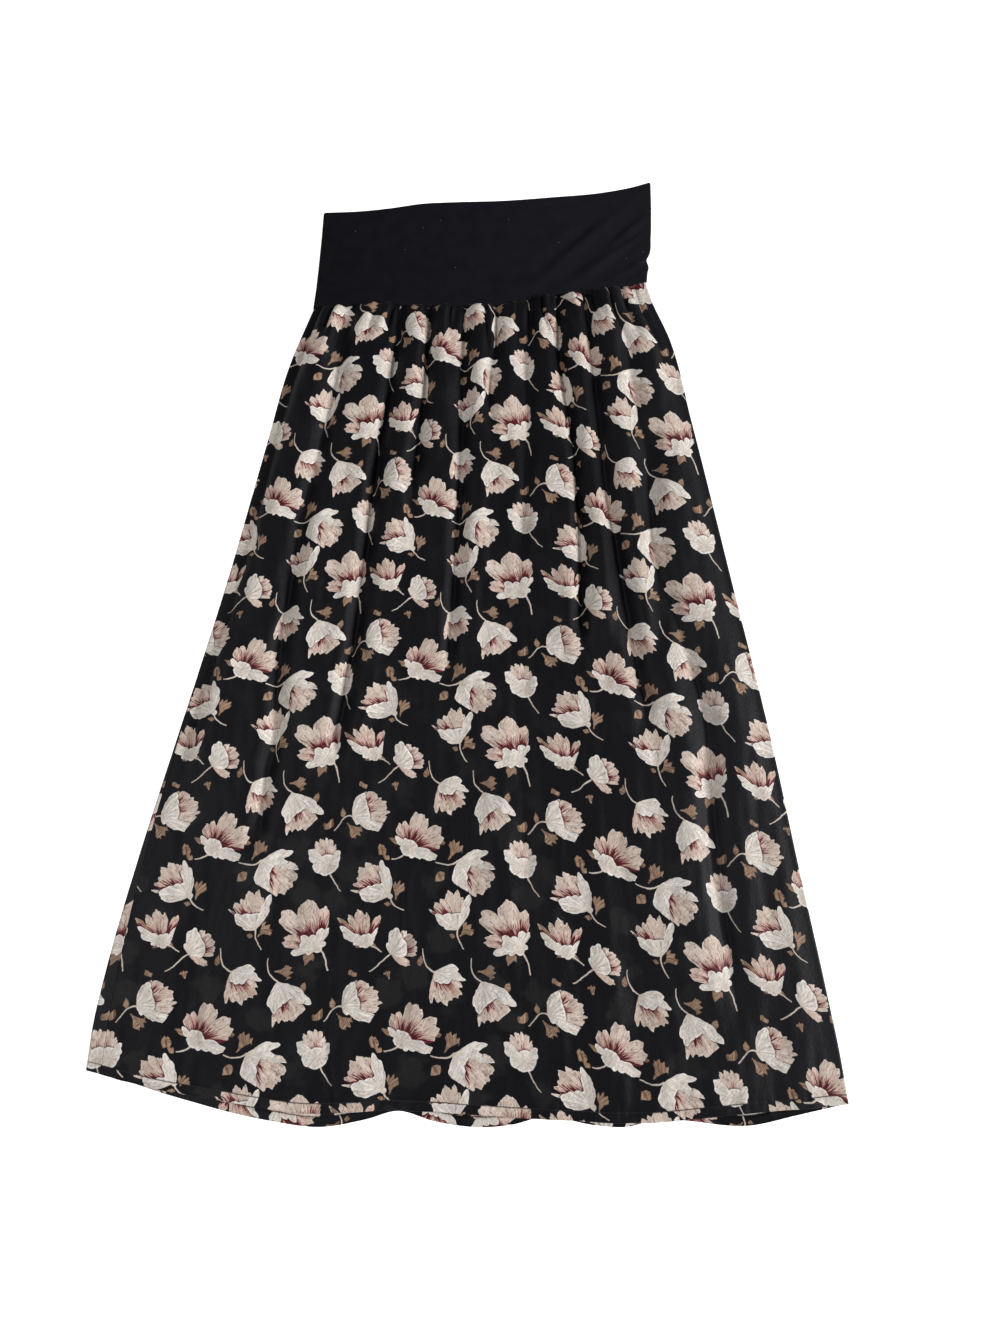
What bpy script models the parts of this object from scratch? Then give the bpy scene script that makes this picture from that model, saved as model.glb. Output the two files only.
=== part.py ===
"""A maxi skirt laid flat: printed chiffon gathered into a doubled jersey waistband.

+X runs to the right of the garment, +Y from the hem to the waist, and +Z up from the surface
that it lies on. The origin is on that surface, under the middle of the garment.
Sizes are in millimetres until a piece becomes a mesh, which is in metres.
"""
import bpy
import numpy as np

METRES = 0.001

# Cloth walls and the gaps between pieces.
CHIFFON_WALL = 1.0
HEM_WALL = 1.7
HEM_DEPTH = 9.0
JERSEY_WALL = 2.2
BAND_EDGE_WALL = 1.2
BAND_EDGE_DEPTH = 1.5
SEAM_GAP = 0.3
LAYER_GAP = 0.5

# The rolled side folds: the radius of the cloth's middle line, and how far in the roll shows.
SKIRT_ROLL = 2.0
BAND_ROLL = (JERSEY_WALL + SEAM_GAP) / 2
ROLL_REACH = 14.0

# Mesh columns and rows.
COLUMNS_PER_GATHER = 4
EDGE_COLUMNS = 3
BACK_COLUMNS = 30
BAND_COLUMNS = 18
BAND_ROWS = 7
SLOPE_STEP = 0.001


def table(names, *rows):
    """A short table as a dictionary of its named columns."""
    return dict(zip(names.split(), np.array(rows, float).T))


# The skirt's side folds. fall runs from 0 at the waist seam to 1 at the hem; wrap is how far the
# left side seam has turned onto the front.
SIDES = table(
    "fall   left    right  wrap",
    (0.00, -182.0, 203.0, 0.0),
    (0.02, -188.0, 207.0, 0.0),
    (0.08, -205.0, 227.0, 0.0),
    (0.20, -227.0, 249.0, 0.0),
    (0.40, -263.0, 283.0, 0.0),
    (0.60, -303.0, 315.0, 3.0),
    (0.75, -332.0, 335.0, 7.0),
    (0.88, -356.0, 355.0, 13.0),
    (0.95, -368.0, 366.0, 16.0),
    (1.00, -371.0, 371.0, 16.0),
)

# Lines across the garment. across runs from 0 at the left fold to 1 at the right fold. The two
# hem lines are alike as far as the left seam, where front and back meet.
WAIST_SEAM = table(
    "across  y",
    (0.00, 354.0),
    (0.18, 361.0),
    (0.37, 357.0),
    (0.58, 361.0),
    (0.70, 371.0),
    (0.83, 374.0),
    (0.93, 383.0),
    (1.00, 389.0),
)
BAND_TOP = table(
    "across  y",
    (0.00, 481.0),
    (0.12, 484.0),
    (0.38, 494.5),
    (0.54, 497.0),
    (0.70, 502.5),
    (0.86, 509.0),
    (0.96, 517.5),
    (1.00, 522.2),
)
FRONT_HEM = table(
    "across  y",
    (0.00, -469.0),
    (0.035, -474.0),
    (0.05, -476.5),
    (0.10, -484.5),
    (0.19, -498.0),
    (0.28, -508.0),
    (0.41, -506.0),
    (0.59, -513.5),
    (0.74, -517.0),
    (0.87, -508.5),
    (1.00, -501.0),
)
BACK_HEM = table(
    "across  y",
    (0.00, -469.0),
    (0.035, -474.0),
    (0.05, -476.5),
    (0.10, -488.0),
    (0.145, -499.0),
    (0.19, -508.5),
    (0.245, -516.5),
    (0.31, -522.0),
    (0.37, -515.0),
    (0.41, -507.5),
    (0.46, -517.0),
    (0.52, -522.2),
    (0.56, -520.0),
    (0.60, -513.0),
    (0.67, -520.5),
    (0.71, -522.0),
    (0.74, -517.0),
    (0.88, -520.0),
    (0.93, -512.0),
    (1.00, -501.0),
)

# The waistband's side folds, from its folded top edge down to the seam.
BAND_SIDES = table(
    "fall   left    right",
    (0.00, -175.0, 212.5),
    (0.40, -177.0, 209.5),
    (0.75, -180.0, 206.0),
    (0.90, -181.5, 202.5),
    (1.00, -182.5, 203.0),
)

# The front's gathers, left to right, one row for each trough: its place across at the waist and
# where its line would meet the hem, how much of the cloth's lift it takes out, and the fall
# by which it has died away.
GATHERS = table(
    "waist   hem   bite   run",
    (0.022, 0.030, 0.80, 0.30),
    (0.060, 0.075, 0.85, 0.22),
    (0.100, 0.110, 0.70, 0.85),
    (0.135, 0.150, 0.85, 0.26),
    (0.185, 0.200, 0.80, 0.18),
    (0.238, 0.225, 0.95, 1.30),
    (0.285, 0.290, 0.95, 0.75),
    (0.330, 0.340, 0.80, 0.16),
    (0.362, 0.375, 0.90, 0.60),
    (0.415, 0.420, 0.85, 1.40),
    (0.465, 0.470, 0.75, 0.20),
    (0.520, 0.515, 0.95, 0.38),
    (0.552, 0.560, 0.90, 0.26),
    (0.605, 0.600, 0.85, 1.30),
    (0.645, 0.650, 0.80, 0.20),
    (0.690, 0.690, 0.90, 0.30),
    (0.730, 0.725, 0.95, 0.85),
    (0.775, 0.775, 0.85, 0.22),
    (0.815, 0.810, 0.95, 0.50),
    (0.850, 0.850, 0.80, 0.18),
    (0.890, 0.885, 0.90, 1.20),
    (0.930, 0.925, 0.85, 0.24),
    (0.968, 0.965, 0.80, 0.34),
)
TROUGH_WIDTH_WAIST = 0.26
TROUGH_WIDTH_HEM = 0.62

# How far the front's ridges stand off the back, down the length.
RIDGE_LIFT = table(
    "fall  lift",
    (0.00, 4.2),
    (0.03, 7.6),
    (0.10, 7.8),
    (0.25, 6.2),
    (0.50, 4.4),
    (0.80, 3.6),
    (1.00, 4.0),
)

# The back's own gathers are pressed low under the garment.
BACK_GATHERS = 9
BACK_GATHER_LIFT = 1.6
BACK_GATHER_RUN = 0.10

# The skirt's sections above its hem, by fall.
PLAIN_FALLS = (0.0, 0.008, 0.022, 0.045, 0.075, 0.11, 0.15, 0.20, 0.26, 0.33, 0.40, 0.48, 0.56,
               0.64, 0.72, 0.79, 0.85, 0.90, 0.95)
HEM_STEP = 1.0


def smooth(at, xs, ys):
    """A smooth curve through the points (xs, ys), read at the values in at.

    Each stretch is a cubic whose slope at a point is the slope between that point's neighbours.
    """
    at = np.clip(at, xs[0], xs[-1])
    slopes = np.gradient(ys, xs)
    i = np.clip(np.searchsorted(xs, at, side="right") - 1, 0, len(xs) - 2)
    span = xs[i + 1] - xs[i]
    t = (at - xs[i]) / span
    start = (1 + 2 * t) * (1 - t) ** 2 * ys[i] + t * (1 - t) ** 2 * span * slopes[i]
    end = t * t * (3 - 2 * t) * ys[i + 1] - t * t * (1 - t) * span * slopes[i + 1]
    return start + end


def fade(q):
    """1 at q = 0, falling smoothly to 0 at q = 1."""
    q = np.clip(q, 0.0, 1.0)
    return 1 - q * q * (3 - 2 * q)


def clear_scene():
    for obj in list(bpy.data.objects):
        bpy.data.objects.remove(obj, do_unlink=True)


def cloth_material(name, colour, roughness):
    """A plain cloth finish: linear colour, rough, with a little sheen."""
    material = bpy.data.materials.new(name)
    material.use_nodes = True
    shader = material.node_tree.nodes["Principled BSDF"]
    shader.inputs["Base Color"].default_value = (*colour, 1.0)
    shader.inputs["Roughness"].default_value = roughness
    shader.inputs["Metallic"].default_value = 0.0
    shader.inputs["Sheen Weight"].default_value = 0.15
    return material


def loft_walls(name, section, columns, falls, walls, material, collection):
    """A closed cloth wall lofted through sections, one for each fall.

    section(q, fall, wall) gives the cloth's middle surface at the way round q, and columns(fall)
    the values of q. Each point moves half the wall out and half in, square to its section, and
    the two faces are closed along all four borders.
    """
    outer, inner = [], []
    for fall, wall in zip(falls, walls):
        q = columns(fall)
        x, y, z = section(q, fall, wall)
        ahead_x, _, ahead_z = section(q + SLOPE_STEP, fall, wall)
        behind_x, _, behind_z = section(q - SLOPE_STEP, fall, wall)
        along_x, along_z = ahead_x - behind_x, ahead_z - behind_z
        half_wall = wall / 2 / np.hypot(along_x, along_z)
        outer.append(np.stack([x - along_z * half_wall, y, z + along_x * half_wall], axis=-1))
        inner.append(np.stack([x + along_z * half_wall, y, z - along_x * half_wall], axis=-1))
    outer, inner = np.array(outer), np.array(inner)
    rings = np.concatenate([outer, inner[:, ::-1]], axis=1)
    rows, around = rings.shape[:2]
    index = np.arange(rows * around).reshape(rows, around)
    following = np.roll(index, -1, axis=1)
    sides = np.stack([index[:-1], index[1:], following[1:], following[:-1]], axis=-1)
    near = np.arange(outer.shape[1] - 1)
    far = around - 1 - near
    first = np.stack([index[0, near], index[0, near + 1], index[0, far - 1], index[0, far]], -1)
    last = np.stack([index[-1, near], index[-1, far], index[-1, far - 1], index[-1, near + 1]], -1)
    faces = np.concatenate([sides.reshape(-1, 4), first, last])
    mesh = bpy.data.meshes.new(name)
    mesh.from_pydata((rings.reshape(-1, 3) * METRES).tolist(), [], faces.tolist())
    mesh.materials.append(material)
    mesh.shade_smooth()
    obj = bpy.data.objects.new(name, mesh)
    collection.objects.link(obj)
    return obj


def half_way_round(left, right, roll):
    """The length of a flattened tube's section from one side fold to the other."""
    return right - left - 2 * roll + np.pi * roll


def place(q, left, right, roll):
    """Points of a flattened tube's section, by their way round it in q.

    q is 0 at the middle of the left fold and grows clockwise: up the fold, along the top,
    down the right fold, and back along the floor. Returns x and the height over the floor side.
    """
    half = half_way_round(left, right, roll)
    quarter = np.pi * roll / 2
    q = np.mod(q, 2 * half)
    stretches = [q < quarter, q < half - quarter, q < half + quarter, q < 2 * half - quarter]
    x = np.select(
        stretches,
        [
            left + roll - roll * np.cos(q / roll),
            left + roll + (q - quarter),
            right - roll + roll * np.cos((q - half) / roll),
            right - roll - (q - half - quarter),
        ],
        left + roll - roll * np.cos((q - 2 * half) / roll),
    )
    height = np.select(
        stretches,
        [
            roll + roll * np.sin(q / roll),
            2 * roll + 0 * q,
            roll - roll * np.sin((q - half) / roll),
            0 * q,
        ],
        roll + roll * np.sin((q - 2 * half) / roll),
    )
    return x, height


def y_between(across, fall, upper, lower, upper_gap):
    """y at a fall between two lines across the garment, from upper_gap under the first one."""
    top = smooth(across, upper["across"], upper["y"]) - upper_gap
    bottom = smooth(across, lower["across"], lower["y"])
    return top + (bottom - top) * fall


def skirt_sides(fall):
    """The middle surface's left and right folds, half its round, and the left seam's turn."""
    left = smooth(fall, SIDES["fall"], SIDES["left"]) + CHIFFON_WALL / 2
    right = smooth(fall, SIDES["fall"], SIDES["right"]) - CHIFFON_WALL / 2
    wrap = smooth(fall, SIDES["fall"], SIDES["wrap"])
    return left, right, half_way_round(left, right, SKIRT_ROLL), wrap


def gather_columns(fall):
    """The way round q of the front's mesh columns inside its side folds, and their gather number.

    A gather number is whole on a trough's line and a half on the ridge between two.
    """
    _, _, half, wrap = skirt_sides(fall)
    quarter = np.pi * SKIRT_ROLL / 2
    count = len(GATHERS["waist"]) + 1
    gather = np.linspace(0, count, count * COLUMNS_PER_GATHER + 1)
    at_waist = np.concatenate([[0.0], GATHERS["waist"], [1.0]])
    at_hem = np.concatenate([[0.0], GATHERS["hem"], [1.0]])
    lines = np.interp(gather, np.arange(count + 1), (1 - fall) * at_waist + fall * at_hem)
    first, last = wrap + SEAM_GAP / 2 + quarter, half - SEAM_GAP / 2 - quarter
    return first + (last - first) * lines, gather


def front_lift(gather, fall):
    """How far the front stands off the back: the ridges' lift, bitten into by each trough.

    A trough is a bell across the gathers that widens and dies away as it runs down.
    """
    lift = smooth(fall, RIDGE_LIFT["fall"], RIDGE_LIFT["lift"])
    width = TROUGH_WIDTH_WAIST + (TROUGH_WIDTH_HEM - TROUGH_WIDTH_WAIST) * np.sqrt(fall)
    left_after = np.ones_like(gather)
    for number, (bite, run) in enumerate(zip(GATHERS["bite"], GATHERS["run"]), start=1):
        bell = np.exp(-(((gather - number) / width) ** 2))
        left_after = left_after * (1 - bite * fade(fall / run) * bell)
    return lift * left_after


def back_lift(across, fall):
    """The back's shallow gathers, which stand off the floor just below the waist seam."""
    wave = np.sin(np.pi * BACK_GATHERS * across) ** 2
    return BACK_GATHER_LIFT * wave * fade(fall / BACK_GATHER_RUN)


def skirt_section(q, fall, wall, hem):
    """The skirt's whole tube at one fall, by the way round it; hem is the panel's own hem line.

    The top sinks from the rolled side folds until it rests on the back, and its gathers and
    the back's lift it again. All three keep clear of the side folds by a bell-shaped window.
    """
    left, right, half, _ = skirt_sides(fall)
    x, height = place(q, left, right, SKIRT_ROLL)
    across = (x - left) / (right - left)
    from_side = np.maximum(np.minimum(x - left, right - x) - SKIRT_ROLL, 0)
    inside = 1 - np.exp(-((from_side / ROLL_REACH) ** 2))
    gather = np.interp(q, *gather_columns(fall))
    around = np.mod(q, 2 * half)
    on_top = around < half
    sink = 2 * SKIRT_ROLL - wall - LAYER_GAP
    raised = back_lift(across, fall) + np.where(on_top, front_lift(gather, fall) - sink, 0)
    z = wall / 2 + height + raised * inside
    return x, y_between(across, fall, WAIST_SEAM, hem, SEAM_GAP), z


def skirt_falls():
    """The skirt's sections, with the step where the hem's turned layers begin, and their walls."""
    length = WAIST_SEAM["y"].mean() - FRONT_HEM["y"].mean()
    turn = 1 - HEM_DEPTH / length
    falls = np.array([*PLAIN_FALLS, turn - HEM_STEP / length, turn, 1.0])
    return falls, np.where(falls < turn, CHIFFON_WALL, HEM_WALL)


def skirt_front(collection, material):
    def section(q, fall, wall):
        return skirt_section(q, fall, wall, FRONT_HEM)

    def columns(fall):
        _, _, half, wrap = skirt_sides(fall)
        edge = np.linspace(0, np.pi * SKIRT_ROLL / 2, EDGE_COLUMNS + 1)[:-1]
        start, end = wrap + SEAM_GAP / 2, half - SEAM_GAP / 2
        return np.concatenate([start + edge, gather_columns(fall)[0], end - edge[::-1]])

    return loft_walls("skirt_front", section, columns, *skirt_falls(), material, collection)


def skirt_back(collection, material):
    def section(q, fall, wall):
        return skirt_section(q, fall, wall, BACK_HEM)

    def columns(fall):
        _, _, half, wrap = skirt_sides(fall)
        quarter = np.pi * SKIRT_ROLL / 2
        start, end = half + SEAM_GAP / 2, 2 * half + wrap - SEAM_GAP / 2
        right_fold = np.linspace(start, half + quarter, EDGE_COLUMNS + 1)[:-1]
        floor = np.linspace(half + quarter, 2 * half - quarter, BACK_COLUMNS)
        left_fold = np.linspace(2 * half - quarter, end, 2 * EDGE_COLUMNS + 1)[1:]
        return np.concatenate([right_fold, floor, left_fold])

    return loft_walls("skirt_back", section, columns, *skirt_falls(), material, collection)


def waistband(name, front, collection, material):
    """One half of the jersey tube, from its folded top edge, which is thinner, to the seam."""
    height = BAND_TOP["y"].mean() - WAIST_SEAM["y"].mean()
    edge_fall = BAND_EDGE_DEPTH / height
    falls = np.concatenate([[0.0, edge_fall], np.linspace(0, 1, BAND_ROWS)[1:]])
    walls = np.where(falls < edge_fall, BAND_EDGE_WALL, JERSEY_WALL)

    def sides(fall):
        left = smooth(fall, BAND_SIDES["fall"], BAND_SIDES["left"]) + JERSEY_WALL / 2
        right = smooth(fall, BAND_SIDES["fall"], BAND_SIDES["right"]) - JERSEY_WALL / 2
        return left, right, half_way_round(left, right, BAND_ROLL)

    def section(q, fall, wall):
        left, right, _ = sides(fall)
        x, height = place(q, left, right, BAND_ROLL)
        across = (x - left) / (right - left)
        return x, y_between(across, fall, BAND_TOP, WAIST_SEAM, 0.0), JERSEY_WALL / 2 + height

    def columns(fall):
        _, _, half = sides(fall)
        quarter = np.pi * BAND_ROLL / 2
        start = SEAM_GAP / 2 + (0 if front else half)
        end = start + half - SEAM_GAP
        fold = np.linspace(0, quarter, EDGE_COLUMNS + 1)[:-1]
        flat = np.linspace(start + quarter, end - quarter, BAND_COLUMNS)
        return np.concatenate([start + fold, flat, end - fold[::-1]])

    return loft_walls(name, section, columns, falls, walls, material, collection)


clear_scene()
garment = bpy.data.collections.new("maxi_skirt")
bpy.context.scene.collection.children.link(garment)
chiffon = cloth_material("printed_chiffon", (0.012, 0.012, 0.014), 0.75)
jersey = cloth_material("black_jersey", (0.009, 0.009, 0.011), 0.85)
skirt_front(garment, chiffon)
skirt_back(garment, chiffon)
waistband("waistband_front", True, garment, jersey)
waistband("waistband_back", False, garment, jersey)
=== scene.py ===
"""A maxi skirt laid flat: flowered chiffon gathered into a doubled black jersey waistband.

+X runs to the right of the garment, +Y from the hem to the waist, +Z up from the surface it
lies on. Sizes are in millimetres until a piece becomes a mesh, which is in metres.
"""
import bpy
import numpy as np
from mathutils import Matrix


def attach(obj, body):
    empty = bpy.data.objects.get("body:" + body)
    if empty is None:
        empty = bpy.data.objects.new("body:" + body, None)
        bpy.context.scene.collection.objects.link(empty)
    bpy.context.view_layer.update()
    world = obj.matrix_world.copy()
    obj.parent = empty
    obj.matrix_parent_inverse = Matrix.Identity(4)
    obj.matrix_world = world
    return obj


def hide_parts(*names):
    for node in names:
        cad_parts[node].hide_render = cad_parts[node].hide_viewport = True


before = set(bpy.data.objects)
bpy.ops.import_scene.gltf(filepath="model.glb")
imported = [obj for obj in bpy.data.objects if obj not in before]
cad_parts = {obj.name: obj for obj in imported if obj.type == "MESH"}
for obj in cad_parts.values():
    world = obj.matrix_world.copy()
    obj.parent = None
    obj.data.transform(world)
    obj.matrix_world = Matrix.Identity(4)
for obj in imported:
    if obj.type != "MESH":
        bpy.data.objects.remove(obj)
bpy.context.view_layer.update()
MM = 0.001


# --- The camera ------------------------------------------------------------------------------
# It stands over the hem half of the skirt, a little more than a metre up, and looks down and
# slightly towards the waist, so the hem is drawn a touch larger than the band.
CAMERA_PLACE = (0.033, -0.2947, 1.0401)
CAMERA_TILT = np.radians(12.4)
CAMERA_LENS = 27.0

camera = bpy.data.cameras.new("camera")
camera.lens = CAMERA_LENS
camera.sensor_width = 36.0
camera_stand = bpy.data.objects.new("camera", camera)
camera_stand.location = CAMERA_PLACE
camera_stand.rotation_euler = (CAMERA_TILT, 0.0, 0.0)
bpy.context.scene.collection.objects.link(camera_stand)
bpy.context.scene.camera = camera_stand
bpy.context.scene.view_settings.view_transform = "Standard"


# --- The floor and the light -----------------------------------------------------------------
# A smooth white board, lit by a white room from every side and by two soft boxes: a strong one
# far off to the right, which gives each fold a bright and a dark side, and a weak one near by on
# the left, which fills the dark sides in.
FLOOR_HALF = 4000.0
FLOOR_DROP = 0.6
FLOOR_WHITE = "#fbfbfb"
FLOOR_GLOW = 0.75
ROOM_WHITE = "#fafaf9"
ROOM_STRENGTH = 0.20
LIGHT_AIM = (0.0, -0.1, 0.0)


def linear(code):
    """An sRGB hex code as linear red, green, blue and an alpha of 1."""
    value = np.array([int(code[i:i + 2], 16) / 255 for i in (1, 3, 5)])
    value = np.where(value <= 0.04045, value / 12.92, ((value + 0.055) / 1.055) ** 2.4)
    return (*value.tolist(), 1.0)


def add(tree, kind, links=(), out=0, **settings):
    """Add a shader node with its settings, and return its output at out, or outputs for a slice.

    Links holds a socket, a value or a colour's hex code for its inputs, in a list in their order
    or in a dictionary.
    """
    made = tree.nodes.new("ShaderNode" + kind)
    for name, value in settings.items():
        setattr(made, name, value)
    for name, value in links.items() if isinstance(links, dict) else enumerate(links):
        if isinstance(value, bpy.types.NodeSocket):
            tree.links.new(value, made.inputs[name])
        else:
            made.inputs[name].default_value = linear(value) if isinstance(value, str) else value
    return made.outputs[out]


def finish_material(name, **sockets):
    """A new material whose Principled shader has the given values; and its tree and shader."""
    material = bpy.data.materials.new(name)
    material.use_nodes = True
    shader = material.node_tree.nodes["Principled BSDF"]
    for socket, value in sockets.items():
        shader.inputs[socket.replace("_", " ")].default_value = value
    return material, material.node_tree, shader


def new_piece(name, points, faces, material, maps=None):
    """A smooth piece from points in mm and its faces; maps holds UV maps in mm, face by face."""
    mesh = bpy.data.meshes.new(name)
    mesh.from_pydata((np.reshape(points, (-1, 3)) * MM).tolist(), [], faces)
    for layer, values in (maps or {}).items():
        mesh.uv_layers.new(name=layer).data.foreach_set("uv", (values * MM).ravel())
    mesh.materials.append(material)
    mesh.shade_smooth()
    piece = bpy.data.objects.new(name, mesh)
    bpy.context.scene.collection.objects.link(piece)
    return piece


# Matt white paint: it glows a little, so that it stays white wherever the skirt doesn't shade it.
board, _, _ = finish_material(
    "white_painted_board", Base_Color=linear(FLOOR_WHITE), Roughness=0.9,
    Specular_IOR_Level=0.1, Emission_Color=linear(FLOOR_WHITE), Emission_Strength=FLOOR_GLOW)
floor = new_piece(
    "floor", [(x * FLOOR_HALF, y * FLOOR_HALF, -FLOOR_DROP)
              for x, y in ((-1, -1), (1, -1), (1, 1), (-1, 1))], [(0, 1, 2, 3)], board)

room = bpy.data.worlds.new("white_room")
room.use_nodes = True
room.node_tree.nodes["Background"].inputs["Color"].default_value = linear(ROOM_WHITE)
room.node_tree.nodes["Background"].inputs["Strength"].default_value = ROOM_STRENGTH
bpy.context.scene.world = room

for name, place_at, size, watts in (
        ("right_soft_box", (9.0, -0.9, 4.2), 2.7, 1150.0),
        ("left_soft_box", (-1.6, -0.2, 2.6), 1.2, 37.0)):
    light = bpy.data.lights.new(name, "AREA")
    light.size, light.energy = size, watts
    stand = bpy.data.objects.new(name, light)
    away = np.array(place_at) - np.array(LIGHT_AIM)
    away /= np.linalg.norm(away)
    stand.location = place_at
    stand.rotation_euler = (np.arccos(away[2]), 0.0, np.arctan2(away[0], -away[1]))
    bpy.context.scene.collection.objects.link(stand)


# --- The flowered chiffon --------------------------------------------------------------------
# Polyester crepe chiffon, black, roller printed with cream and blush tulips that have wine red
# hearts, tan leaves and pale stalks. Crepe yarn gives it a dry, faintly pebbled face with almost
# no shine, and it is sheer enough for the flowers of the layer beneath to show as a ghost.
PRINT_WIDE, PRINT_TALL = 202.0, 183.0
CHART_TURN = np.linspace(-180, 180, 256)
LEAF_POINTS = 160
STEM_POINTS = 121
STEM_REACH = 60.0
NO_PETAL = -3.0
NO_LEAF = (200.0, -5.0)
PETAL_TRIM = 2.1
SIDE_SHADE, CREASE_SHADE, PETAL_SHADE = 0.2, 0.45, 0.14
CREASE_WIDTH = 1.6
SAW_TEETH = (8.3, 4.9)
WINE_FALL = 8.0
FLOWER_STEP = 0.37
WANDER = 1.2
GHOST_BLUR = 38.0

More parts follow.
